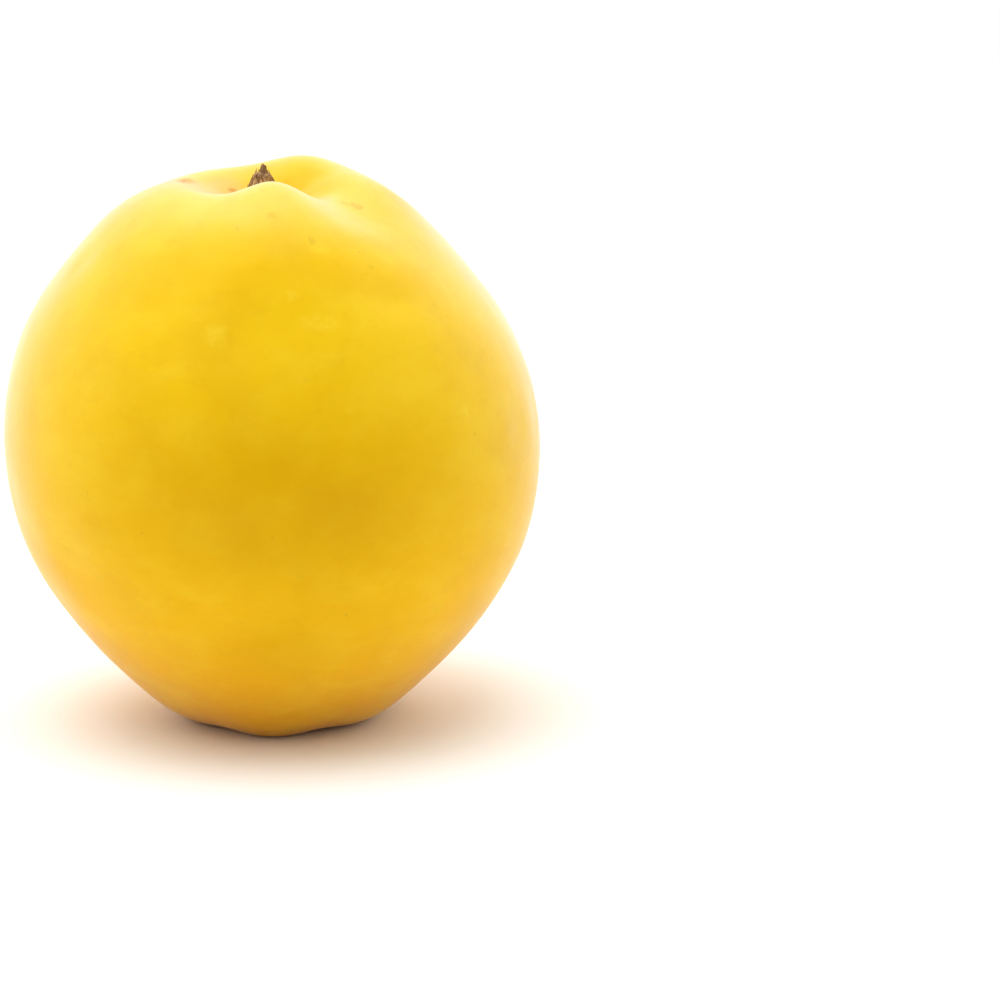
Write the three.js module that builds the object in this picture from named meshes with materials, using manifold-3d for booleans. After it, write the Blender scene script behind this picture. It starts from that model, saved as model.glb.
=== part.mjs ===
// A whole ripe quince, in millimetres, +Z up. It stands on the low lobes round its calyx, with the
// stub of its stalk on top. The origin is on the surface that it stands on, under its middle.

import * as THREE from 'three';
import { mergeVertices } from 'three/addons/utils/BufferGeometryUtils.js';
import Module from 'manifold-3d';

// Sizes of the fruit
const FRUIT_HEIGHT = 91;
const LEAN = -2; // how far the top stands to the side of the base, along X
const FACETS_ROUND = 72;
const RINGS_PER_POINT = 3; // from one point of the profile to the next
const SMOOTH_MIDDLE = 6; // radius in which the basins' floors fade to plain ones

// Half of the fruit's section, as radius and height: from the middle of the calyx basin, over the
// rim that it stands on, up the outside and over the shoulder, to the middle of the stem basin.
const PROFILE = [
  [0, 11.5], [4.5, 10.5], [7.5, 5.5], [10, 2], [14, 0.8], [19, 2.8], [25, 7.6],
  [31.8, 14.5], [38.3, 23.6], [42.5, 33.8], [43.9, 45.6], [42.8, 56.4], [39.2, 66.8],
  [33.3, 75.6], [26.5, 82.2], [20, 86.4], [14.5, 88.2], [9.5, 87.2], [5, 85.6], [0, 85],
];

// Lobes round each basin: azimuth and half width in degrees, rise in millimetres. A ring of lobes
// begins at the profile's point `from`, is full at `crest` and has gone at `to`.
const STEM_LOBES = {
  from: 11.5,
  crest: 16,
  to: 18.8,
  lobes: [
    { azimuth: -83, rise: 2.8, spread: 24 },
    { azimuth: 6, rise: 1.5, spread: 28 },
    { azimuth: 62, rise: 3.1, spread: 34 },
    { azimuth: 124, rise: 0.8, spread: 30 },
    { azimuth: -170, rise: 0.3, spread: 28 },
  ],
};
const CALYX_LOBES = {
  from: 8,
  crest: 4,
  to: 1,
  lobes: [
    { azimuth: -97, rise: 1.6, spread: 24 },
    { azimuth: -38, rise: 1, spread: 24 },
    { azimuth: 32, rise: 1.3, spread: 26 },
    { azimuth: 112, rise: 1.5, spread: 32 },
    { azimuth: -155, rise: 1.2, spread: 24 },
  ],
};

// Broad swellings (rise above 0) and dents (below 0) of the outside, seen from the fruit's middle
const SWELLINGS = [
  { azimuth: 180, elevation: 62, rise: 0.6, spread: 12 },
  { azimuth: 180, elevation: 42, rise: -0.5, spread: 14 },
  { azimuth: -40, elevation: 66, rise: -1.8, spread: 12 },
  { azimuth: 0, elevation: 46, rise: -1.6, spread: 22 },
  { azimuth: -88, elevation: 35, rise: -0.6, spread: 26 },
];

// Sizes of the stalk's stub
const STUB_CENTRE = { x: -1.2, y: 0 };
const ROOT_RADIUS = 2.1;
const ROOT_END = 82.4; // height of the root's blunt end, inside the flesh
const GAP = 0.3; // between pieces that touch
const STUB_FACETS = 20;

// The stub's body without its shard and splinters, as radius and height
const STUB_PROFILE = [
  [0, ROOT_END], [ROOT_RADIUS, ROOT_END], [ROOT_RADIUS, 85.6], [2.9, 85.9], [2.8, 86.6],
  [2.2, 88], [1.7, 89.3], [1, 90.2], [0, 90.4],
];
const SHARD = { foot: 86.6, tip: 91.7, lean: 0.3, width: 3.4, thickness: 2.6, tipWidth: 0.9 };
const SPLINTER = { count: 8, foot: 86.3, radius: 2.1, width: 1.5, thickness: 1, tipWidth: 0.45 };
const SPLINTER_TIPS = [88.7, 90.7]; // least and greatest height

// Sizes of the calyx
const CALYX_CENTRE = { x: -LEAN / 2, y: 0 };
const CALYX_FACETS = 24;

// The calyx cup's section, as radius and height: from the middle of its hollow, over its rim and
// up its outside, to the middle of its back
const CUP_PROFILE = [
  [0, 9.2], [2.9, 8.7], [3.9, 8], [4.6, 8.2], [4.8, 9.1], [4.1, 10], [2.6, 10.7], [0, 11.1],
];
const SEPAL = { count: 5, firstAzimuth: 18, width: 4.4, thickness: 0.75, tipWidth: 0.7, trough: 0.5 };
const SEPAL_PATH = [[3.6, 9.3], [4.9, 8], [5.9, 6.2], [6.6, 4.4]]; // reach and height, to near its tip
const SEPAL_TIP = { reach: [6.3, 7.4], height: [2.4, 3.4] };
const STAMEN = { count: 15, width: 0.7, root: 9.3, turn: 137.5 };
const STAMEN_REACH = [0.9, 2.7];
const STAMEN_TIPS = [4.6, 6.6];
const STYLES = { width: 1.5, tipWidth: 0.9, root: 9.4, tip: 5.4 };

const { clamp, degToRad, euclideanModulo, lerp, radToDeg, smoothstep } = THREE.MathUtils;
const wasm = await Module();
wasm.setup();

// A closed geometry as a solid that can be cut and joined.
function solid(geometry) {
  geometry.deleteAttribute('normal');
  geometry.deleteAttribute('uv');
  const merged = mergeVertices(geometry, 1e-4);
  const corners = merged.index.array;
  const triangles = [];
  for (let i = 0; i < corners.length; i += 3) {
    const [a, b, c] = corners.slice(i, i + 3);
    if (a !== b && b !== c && c !== a) {
      triangles.push(a, b, c);
    }
  }
  return new wasm.Manifold(new wasm.Mesh({
    numProp: 3,
    vertProperties: new Float32Array(merged.attributes.position.array),
    triVerts: new Uint32Array(triangles),
  }));
}

// A named mesh of a solid.
function mesh(name, body, material) {
  const { vertProperties, triVerts } = body.getMesh();
  const geometry = new THREE.BufferGeometry();
  geometry.setAttribute('position', new THREE.BufferAttribute(vertProperties, 3));
  geometry.setIndex(new THREE.BufferAttribute(triVerts, 1));
  geometry.computeVertexNormals();
  const result = new THREE.Mesh(geometry, material);
  result.name = name;
  return result;
}

// Repeatable draws between two numbers.
function seededDraw(seed) {
  let state = seed;
  return (low, high) => {
    state = (state * 1664525 + 1013904223) % 4294967296;
    return low + (high - low) * (state / 4294967296);
  };
}

// Pairs of radius and height as points of a plane.
const flat = (pairs) => pairs.map(([radius, height]) => new THREE.Vector2(radius, height));

// A body of revolution round Z, from an outline that starts and ends on the axis, the lower end first.
function turned(outline, facets) {
  const geometry = new THREE.LatheGeometry(flat(outline), facets);
  geometry.rotateX(Math.PI / 2);
  return geometry;
}

// A bell curve that is 1 at the middle.
const bell = (angle, spread) => Math.exp(-((angle / spread) ** 2));

// The angle between two azimuths, from -180 to 180.
const turnBetween = (a, b) => euclideanModulo(a - b + 180, 360) - 180;

// How full a ring of lobes is at a place along the profile.
function lobeFullness({ from, crest, to }, place) {
  const end = (place - crest) * (to - crest) > 0 ? to : from;
  return 1 - smoothstep(Math.abs(place - crest), 0, Math.abs(end - crest));
}

// The direction of an azimuth and an elevation.
function direction({ azimuth, elevation }) {
  const level = Math.cos(degToRad(elevation));
  return new THREE.Vector3(
    level * Math.cos(degToRad(azimuth)),
    level * Math.sin(degToRad(azimuth)),
    Math.sin(degToRad(elevation)),
  );
}

// How far the fruit's surface stands out of its plain profile.
function swelling(radius, height, azimuth, place) {
  let rise = 0;
  for (const ring of [STEM_LOBES, CALYX_LOBES]) {
    const fullness = lobeFullness(ring, place);
    for (const lobe of ring.lobes) {
      rise += fullness * lobe.rise * bell(turnBetween(azimuth, lobe.azimuth), lobe.spread);
    }
  }
  const ray = new THREE.Vector3(
    radius * Math.cos(degToRad(azimuth)),
    radius * Math.sin(degToRad(azimuth)),
    height - FRUIT_HEIGHT / 2,
  );
  for (const bump of SWELLINGS) {
    rise += bump.rise * bell(radToDeg(ray.angleTo(direction(bump))), bump.spread);
  }
  return rise * smoothstep(radius, 0, SMOOTH_MIDDLE);
}

// The fruit's plain section as a smooth curve, in rings of radius, height and outward direction.
// A mirrored point beyond each end keeps the curve level where it meets the axis.
function sectionRings() {
  const mirrored = ([radius, height]) => [-radius, height];
  const knots = [mirrored(PROFILE.at(1)), ...PROFILE, mirrored(PROFILE.at(-2))];
  const curve = new THREE.SplineCurve(flat(knots));
  const last = (PROFILE.length - 1) * RINGS_PER_POINT;
  return Array.from({ length: last + 1 }, (_, ring) => {
    const along = (1 + ring / RINGS_PER_POINT) / (knots.length - 1);
    const point = curve.getPoint(along);
    const tangent = curve.getTangent(along);
    const radius = ring === 0 || ring === last ? 0 : point.x;
    return { radius, height: point.y, outward: [tangent.y, -tangent.x] };
  });
}

// The fruit: its section turned round, swollen by the lobes, leaned over and cut flat where it
// stands, with a plain hole for the stalk's root.
function fruit() {
  const rings = sectionRings();
  const geometry = turned(rings.map(({ radius, height }) => [radius, height]), FACETS_ROUND);
  const places = geometry.attributes.position;
  for (let i = 0; i < places.count; i += 1) {
    const ring = i % rings.length;
    const { radius, height, outward } = rings[ring];
    const azimuth = Math.floor(i / rings.length) * (360 / FACETS_ROUND);
    const rise = swelling(radius, height, azimuth, ring / RINGS_PER_POINT);
    const reach = radius + rise * outward[0];
    const top = height + rise * outward[1];
    const shift = LEAN * (top / FRUIT_HEIGHT - 0.5);
    places.setXYZ(
      i,
      reach * Math.cos(degToRad(azimuth)) + shift,
      reach * Math.sin(degToRad(azimuth)),
      top,
    );
  }
  const room = new THREE.BoxGeometry(FRUIT_HEIGHT * 2, FRUIT_HEIGHT * 2, FRUIT_HEIGHT * 2);
  room.translate(0, 0, FRUIT_HEIGHT);
  const socket = turned([
    [0, ROOT_END - GAP],
    [ROOT_RADIUS + GAP, ROOT_END - GAP],
    [ROOT_RADIUS + GAP, FRUIT_HEIGHT],
    [0, FRUIT_HEIGHT],
  ], STUB_FACETS);
  socket.translate(STUB_CENTRE.x, STUB_CENTRE.y, 0);
  return solid(geometry).intersect(solid(room)).subtract(solid(socket));
}

// A flattened strand along a path of reach and height in the upright plane of an azimuth.
// widthAt and thicknessAt give its section from 0 (root) to 1 (tip), and trough is how far its
// edges stand out of its middle.
function strand({ path, azimuth, centre, widthAt, thicknessAt, trough = 0, sides = 6, steps = 5 }) {
  const curve = new THREE.SplineCurve(flat(path));
  const geometry = new THREE.CylinderGeometry(1, 1, 1, sides, steps);
  const places = geometry.attributes.position;
  const point = new THREE.Vector3();
  for (let i = 0; i < places.count; i += 1) {
    point.fromBufferAttribute(places, i);
    const along = clamp(0.5 + point.y, 0, 1);
    const middle = curve.getPoint(along);
    const tangent = curve.getTangent(along);
    const aside = (point.x * widthAt(along)) / 2;
    const off = (point.z * thicknessAt(along)) / 2 + trough * point.x ** 2;
    const reach = middle.x + off * tangent.y;
    places.setXYZ(
      i,
      centre.x + reach * Math.cos(degToRad(azimuth)) - aside * Math.sin(degToRad(azimuth)),
      centre.y + reach * Math.sin(degToRad(azimuth)) + aside * Math.cos(degToRad(azimuth)),
      middle.y - off * tangent.x,
    );
  }
  return solid(geometry);
}

// A width that narrows slowly at first, down to the torn tip.
const torn = (width, tipWidth) => (along) => lerp(width, tipWidth, along ** 1.5);

// The stub of the stalk: a flared foot on its root, one long shard and a ring of splinters.
function stemStub() {
  const core = turned(STUB_PROFILE, STUB_FACETS);
  core.translate(STUB_CENTRE.x, STUB_CENTRE.y, 0);
  const draw = seededDraw(11);
  let body = solid(core).add(strand({
    path: [[0, SHARD.foot], [0, (SHARD.foot + SHARD.tip) / 2], [SHARD.lean, SHARD.tip]],
    azimuth: 0,
    centre: STUB_CENTRE,
    widthAt: torn(SHARD.width, SHARD.tipWidth),
    thicknessAt: torn(SHARD.thickness, SHARD.tipWidth),
    sides: 8,
  }));
  for (let i = 0; i < SPLINTER.count; i += 1) {
    const tip = draw(...SPLINTER_TIPS);
    body = body.add(strand({
      path: [
        [SPLINTER.radius, SPLINTER.foot],
        [SPLINTER.radius * 0.85, (SPLINTER.foot + tip) / 2],
        [SPLINTER.radius * draw(0.6, 0.85), tip],
      ],
      azimuth: (i * 360) / SPLINTER.count + draw(-9, 9),
      centre: STUB_CENTRE,
      widthAt: torn(SPLINTER.width, SPLINTER.tipWidth),
      thicknessAt: torn(SPLINTER.thickness, SPLINTER.tipWidth),
    }));
  }
  return body;
}

// One dried sepal: a trough-shaped blade, widest near its root and pointed at its tip.
function sepal(azimuth, draw) {
  const swell = (along) => Math.sin(Math.PI * (0.25 + 0.75 * along));
  return strand({
    path: [...SEPAL_PATH, [draw(...SEPAL_TIP.reach), draw(...SEPAL_TIP.height)]],
    azimuth,
    centre: CALYX_CENTRE,
    widthAt: (along) => Math.max(SEPAL.width * swell(along), SEPAL.tipWidth),
    thicknessAt: () => SEPAL.thickness,
    trough: SEPAL.trough,
    sides: 8,
    steps: 9,
  });
}

// One withered stamen, slightly bent.
function stamen(azimuth, draw) {
  const root = draw(...STAMEN_REACH);
  return strand({
    path: [
      [root, STAMEN.root],
      [root + draw(-0.3, 0.5), 7.6],
      [root + draw(-0.8, 0.9), draw(...STAMEN_TIPS)],
    ],
    azimuth,
    centre: CALYX_CENTRE,
    widthAt: () => STAMEN.width,
    thicknessAt: () => STAMEN.width,
    sides: 5,
    steps: 3,
  });
}

// The calyx: a shallow cup that opens downwards, with its sepals round it and the withered
// stamens and joined styles inside.
function calyx() {
  const cup = turned(CUP_PROFILE, CALYX_FACETS);
  cup.translate(CALYX_CENTRE.x, CALYX_CENTRE.y, 0);
  const draw = seededDraw(5);
  let body = solid(cup);
  for (let i = 0; i < SEPAL.count; i += 1) {
    body = body.add(sepal(SEPAL.firstAzimuth + (i * 360) / SEPAL.count + draw(-7, 7), draw));
  }
  for (let i = 0; i < STAMEN.count; i += 1) {
    body = body.add(stamen(i * STAMEN.turn, draw));
  }
  const stylesWidth = (along) => lerp(STYLES.width, STYLES.tipWidth, along);
  return body.add(strand({
    path: [[0, STYLES.root], [0.1, (STYLES.root + STYLES.tip) / 2], [0, STYLES.tip]],
    azimuth: 0,
    centre: CALYX_CENTRE,
    widthAt: stylesWidth,
    thicknessAt: stylesWidth,
    sides: 7,
    steps: 4,
  }));
}

const skin = new THREE.MeshStandardMaterial({ color: 0xe6b422, roughness: 0.55, metalness: 0 });
const wood = new THREE.MeshStandardMaterial({ color: 0x6e4c2c, roughness: 0.9, metalness: 0 });
const driedLeaf = new THREE.MeshStandardMaterial({ color: 0x5a4630, roughness: 0.95, metalness: 0 });

const quince = new THREE.Group();
quince.add(mesh('fruit', fruit(), skin));
quince.add(mesh('stem_stub', stemStub(), wood));
quince.add(mesh('calyx', calyx(), driedLeaf));

export default quince;
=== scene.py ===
"""A whole ripe quince: waxy golden skin, the torn stub of its stalk and its withered calyx.

It is run as a script inside Blender 4.5. It loads the fruit's solid frame, grows a finer piece
over each solid and sets a pale studio round them. The 3D view's sidebar lists each step.
"""

import math

import bpy
import numpy as np
from bpy.props import FloatProperty, FloatVectorProperty, IntProperty, PointerProperty
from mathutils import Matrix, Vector, noise


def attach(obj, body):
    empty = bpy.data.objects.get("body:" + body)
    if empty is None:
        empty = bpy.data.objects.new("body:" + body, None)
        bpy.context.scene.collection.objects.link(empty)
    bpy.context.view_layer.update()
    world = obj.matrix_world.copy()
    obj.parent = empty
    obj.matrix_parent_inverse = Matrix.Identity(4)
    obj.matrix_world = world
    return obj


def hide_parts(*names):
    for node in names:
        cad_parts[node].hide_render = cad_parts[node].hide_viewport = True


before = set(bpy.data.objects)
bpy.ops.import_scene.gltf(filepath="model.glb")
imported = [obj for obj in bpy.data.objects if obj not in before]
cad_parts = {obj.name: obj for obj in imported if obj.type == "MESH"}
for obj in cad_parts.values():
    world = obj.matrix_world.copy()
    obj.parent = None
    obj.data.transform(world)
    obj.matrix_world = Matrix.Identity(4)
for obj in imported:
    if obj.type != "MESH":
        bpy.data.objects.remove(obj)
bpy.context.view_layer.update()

bl_info = {
    "name": "Quince",
    "version": (1, 0, 0),
    "blender": (4, 5, 0),
    "location": "3D View > Sidebar > Quince",
    "description": "Grows a whole ripe quince over its solid frame",
    "category": "Add Mesh",
}

MM = 0.001

# Half of the fruit's section, as radius and height in millimetres: from the middle of the calyx
# basin, over the rim that it stands on, up the outside and over the shoulder, to the middle of
# the stem basin.
PROFILE = [
    (0, 11.5), (4.5, 10.5), (7.5, 5.5), (10, 2), (14, 0.8), (19, 2.8), (25, 7.6),
    (31.8, 14.5), (38.3, 23.6), (42.5, 33.8), (43.9, 45.6), (42.8, 56.4), (39.2, 66.8),
    (33.3, 75.6), (26.5, 82.2), (20, 86.4), (14.5, 88.2), (9.5, 87.2), (5, 85.6), (0, 85),
]
FRUIT_HEIGHT = 91
LEAN = -2  # how far the top stands to the side of the base, along X
SMOOTH_MIDDLE = 6  # radius in which the basins' floors fade to plain ones
PAD_EDGE = 0.4  # height in which the low crests bend into the flat that they stand on

# Each ring of lobes: where along the profile it begins, is full and ends, and its lobes as
# azimuth in degrees, rise in millimetres and half width in degrees.
STEM_LOBES = (
    (11.5, 16, 18.8),
    [(-83, 2.8, 24), (6, 1.5, 28), (62, 3.1, 34), (124, 0.8, 30), (-170, 0.3, 28)],
)
CALYX_LOBES = (
    (8, 4, 1),
    [(-97, 1.6, 24), (-38, 1, 24), (32, 1.3, 26), (112, 1.5, 32), (-155, 1.2, 24)],
)

# Broad swellings and dents: azimuth, elevation, rise in millimetres and half width in degrees
SWELLINGS = [
    (180, 62, 0.6, 12), (180, 42, -0.5, 14), (-40, 66, -1.8, 12), (0, 46, -1.6, 22),
    (-88, 35, -0.6, 26),
]

# The skin's low waves: length in millimetres and share of the whole unevenness
WAVES = [(17, 1), (6.5, 0.45), (2.4, 0.16)]

# The pleats of the two basins: where along the profile and at what radius they begin and are full
STUB_PLEATS = ((17.1, 18.1), (2.2, 4.5))
CALYX_PLEATS = ((4.2, 2.4), (4.5, 7))

# The skin's shallow dents: least and greatest depth in millimetres and half width in degrees
DENT_DEPTHS = (0.08, 0.34)
DENT_SPREADS = (3.5, 9)

# The stalk's stub and the calyx, in millimetres
STUB_CENTRE = (-1.2, 0)
TORN_FACE = (STUB_CENTRE[0] + 0.2, STUB_CENTRE[1] - 1.6, 88.3)  # pale wood where the stalk broke
CALYX_CENTRE = (1, 0)

GOLDEN_TURN = 137.5  # degrees from one strand to the next, so that they never stand in rows


def seeded_draw(seed):
    """Repeatable draws between two numbers."""
    state, states = seed, 2**32

    def draw(low, high):
        nonlocal state
        state = (state * 1664525 + 1013904223) % states
        return low + (high - low) * (state / states)

    return draw


def smoothstep(low, high, value):
    """0 below low, 1 above high and a smooth rise between them."""
    part = np.clip((value - low) / (high - low), 0, 1)
    return part * part * (3 - 2 * part)


def bell(angle, spread):
    """A bell curve that is 1 at the middle."""
    return np.exp(-((angle / spread) ** 2))


def turn_between(first, second):
    """The angle between two azimuths, from -180 to 180."""
    return (first - second + 180) % 360 - 180


def spline(points, along):
    """A smooth curve through points, at places from 0 to 1 along it."""
    knots = np.array([points[0], *points, points[-1]], float)
    place = np.asarray(along, float) * (len(points) - 1)
    start = np.clip(np.floor(place).astype(int), 0, len(points) - 2)
    part = (place - start)[..., None]
    before, first, second, after = (knots[start + step] for step in range(4))
    leave, arrive = (second - before) / 2, (after - first) / 2
    return (
        (2 * first - 2 * second + leave + arrive) * part**3
        + (3 * second - 3 * first - 2 * leave - arrive) * part**2
        + leave * part
        + first
    )


def directions(points, along):
    """The curve's direction at places along it."""
    step = 0.0001
    ahead = spline(points, np.clip(np.asarray(along) + step, 0, 1))
    behind = spline(points, np.clip(np.asarray(along) - step, 0, 1))
    way = ahead - behind
    return way / np.linalg.norm(way, axis=-1, keepdims=True)


def section(rings):
    """The plain section: radius, height and outward direction at even steps along the profile."""
    mirrored = [(-PROFILE[1][0], PROFILE[1][1]), *PROFILE, (-PROFILE[-2][0], PROFILE[-2][1])]
    place = np.linspace(0, len(PROFILE) - 1, rings + 1)
    along = (1 + place) / (len(mirrored) - 1)
    points = spline(mirrored, along)
    ways = directions(mirrored, along)
    points[0, 0] = points[-1, 0] = 0
    return points, np.stack([ways[:, 1], -ways[:, 0]], -1), place


def lobe_fullness(span, place):
    """How full a ring of lobes is at a place along the profile."""
    begin, crest, end = span
    side = np.where((place - crest) * (end - crest) > 0, end, begin)
    return 1 - smoothstep(0, 1, np.abs(place - crest) / np.abs(side - crest))


def swelling(radius, height, azimuth, place):
    """How far the surface stands out of its plain section, in millimetres."""
    rise = np.zeros_like(radius)
    for span, lobes in (STEM_LOBES, CALYX_LOBES):
        fullness = lobe_fullness(span, place)
        for middle, most, spread in lobes:
            rise += fullness * most * bell(turn_between(azimuth, middle), spread)
    turn = np.radians(azimuth)
    ray = np.stack([radius * np.cos(turn), radius * np.sin(turn), height - FRUIT_HEIGHT / 2], -1)
    ray /= np.linalg.norm(ray, axis=-1, keepdims=True)
    for middle, elevation, most, spread in SWELLINGS:
        side, up = math.radians(middle), math.radians(elevation)
        way = np.array([math.cos(up) * math.cos(side), math.cos(up) * math.sin(side), math.sin(up)])
        away = np.degrees(np.arccos(np.clip(ray @ way, -1, 1)))
        rise += most * bell(away, spread)
    return rise * smoothstep(0, SMOOTH_MIDDLE, radius)


def fine_relief(points, radius, azimuth, place, settings):
    """Low unevenness of the skin, and the pleats that run into both basins, in millimetres."""
    rise = np.zeros(len(points))
    for index, point in enumerate(points):
        spot = Vector(point)
        waves = sum(share * noise.noise(spot / length) for length, share in WAVES)
        rise[index] = settings.unevenness / MM * waves
    turn = np.radians(azimuth)
    pleats = np.sin(9 * turn + 1.1 * np.sin(2 * turn)) + 0.6 * np.sin(17 * turn + 2)
    inside = sum(
        smoothstep(*span, place) * smoothstep(*reach, radius) for span, reach in (STUB_PLEATS, CALYX_PLEATS)
    )
    rise += settings.pleat_depth / MM * pleats * inside
    draw = seeded_draw(17)
    away = points - np.array([0, 0, FRUIT_HEIGHT / 2])
    away /= np.linalg.norm(away, axis=1, keepdims=True)
    for _ in range(settings.dents):
        up, side = draw(-0.8, 0.95), math.radians(draw(0, 360))
        level = math.sqrt(1 - up**2)
        way = np.array([math.cos(side) * level, math.sin(side) * level, up])
        depth, spread = draw(*DENT_DEPTHS) * settings.dent_scale, draw(*DENT_SPREADS)
        rise -= depth * bell(np.degrees(np.arccos(np.clip(away @ way, -1, 1))), spread)
    return rise * smoothstep(0, 3, radius)


def fruit_grid(settings):
    """The skin's points in millimetres, ring by ring from the calyx up."""
    rings, around = settings.rings, settings.segments
    points, outward, place = section(rings)
    azimuth = np.arange(around) * (360 / around)
    radius = np.repeat(points[:, 0], around)
    height = np.repeat(points[:, 1], around)
    place = np.repeat(place, around)
    azimuth = np.tile(azimuth, rings + 1)
    rise = settings.lobe_strength * swelling(radius, height, azimuth, place)
    turn = np.radians(azimuth)
    plain = np.stack([radius * np.cos(turn), radius * np.sin(turn), height], -1)
    rise += fine_relief(plain, radius, azimuth, place, settings)
    reach = radius + rise * np.repeat(outward[:, 0], around)
    top = height + rise * np.repeat(outward[:, 1], around)
    shift = LEAN * (top / FRUIT_HEIGHT - 0.5)
    rounded = np.where(np.abs(top) < PAD_EDGE, (top + PAD_EDGE) ** 2 / (4 * PAD_EDGE), np.maximum(top, 0))
    grid = np.stack([reach * np.cos(turn) + shift, reach * np.sin(turn), rounded], -1)
    return grid.reshape(rings + 1, around, 3)


def closed_grid(grid):
    """Vertices and faces of a closed body from rings of points.

    Its first and last ring are single points.
    """
    rows, around = grid.shape[:2]
    inner = grid[1:-1].reshape(-1, 3)
    verts = np.concatenate([grid[0, :1], inner, grid[-1, :1]])
    first = np.arange(around)
    after = (first + 1) % around
    faces = [(0, 1 + b, 1 + a) for a, b in zip(first, after)]
    for row in range(rows - 3):
        low, high = 1 + row * around, 1 + (row + 1) * around
        faces += [(low + a, low + b, high + b, high + a) for a, b in zip(first, after)]
    last, tip = 1 + (rows - 3) * around, len(verts) - 1
    faces += [(last + a, last + b, tip) for a, b in zip(first, after)]
    return verts, faces


def capped_grid(grid):
    """The same, where the first and last ring are true rings that are closed by a fan each."""
    foot, tip = (np.broadcast_to(ring.mean(0), (1, *ring.shape)) for ring in (grid[0], grid[-1]))
    return closed_grid(np.concatenate([foot, grid, tip]))


def strand(
    path, azimuth, centre, width_at, thickness_at, trough=0, sides=8, steps=12, relief=None, ridge=None
):
    """A flattened strand along a path of reach and height in the upright plane of an azimuth.

    relief swells its section by a factor and ridge lifts its surface by millimetres.
    """
    along = np.linspace(0, 1, steps + 1)[:, None]
    round_turn = np.arange(sides) * (2 * math.pi / sides)
    across, through = np.sin(round_turn)[None, :], np.cos(round_turn)[None, :]
    middle, way = spline(path, along[:, 0]), directions(path, along[:, 0])
    width, thickness = width_at(along), thickness_at(along)
    swell = 1 if relief is None else relief(along, round_turn[None, :])
    aside = across * width / 2 * swell
    off = through * thickness / 2 * swell + trough * across**2
    if ridge is not None:
        off = off + ridge(along, across)
    reach = middle[:, 0, None] + off * way[:, 1, None]
    height = middle[:, 1, None] - off * way[:, 0, None]
    turn = math.radians(azimuth)
    x = centre[0] + reach * math.cos(turn) - aside * math.sin(turn)
    y = centre[1] + reach * math.sin(turn) + aside * math.cos(turn)
    return capped_grid(np.stack([x, y, height], -1))


def smooth_outline(points, steps=60):
    """A smooth outline of radius and height through points, which begins and ends on the axis."""
    outline = spline(points, np.linspace(0, 1, steps))
    outline[0, 0] = outline[-1, 0] = 0
    return outline


def turned(outline, around, relief, centre):
    """A body of revolution round an upright axis through a centre. relief swells it by a factor."""
    turn = np.arange(around) * (2 * math.pi / around)
    radius = np.repeat(outline[:, :1], around, 1)
    height = np.repeat(outline[:, 1:], around, 1)
    radius = radius * relief(height, turn[None, :])
    x = centre[0] + radius * np.cos(turn)
    y = centre[1] + radius * np.sin(turn)
    return closed_grid(np.stack([x, y, height], -1))


def make_piece(name, parts, material, node):
    """One object from parts of vertices in millimetres and faces, which stands for a solid."""
    verts, faces, count = [], [], 0
    for part_verts, part_faces in parts:
        verts.append(part_verts)
        faces += [tuple(count + corner for corner in face) for face in part_faces]
        count += len(part_verts)
    mesh = bpy.data.meshes.new(name)
    mesh.from_pydata((np.concatenate(verts) * MM).tolist(), [], faces)
    mesh.materials.append(material)
    mesh.polygons.foreach_set("use_smooth", [True] * len(mesh.polygons))
    mesh.update()
    piece = bpy.data.objects.new(name, mesh)
    bpy.context.scene.collection.objects.link(piece)
    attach(piece, "root")
    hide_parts(node)
    return piece


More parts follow.
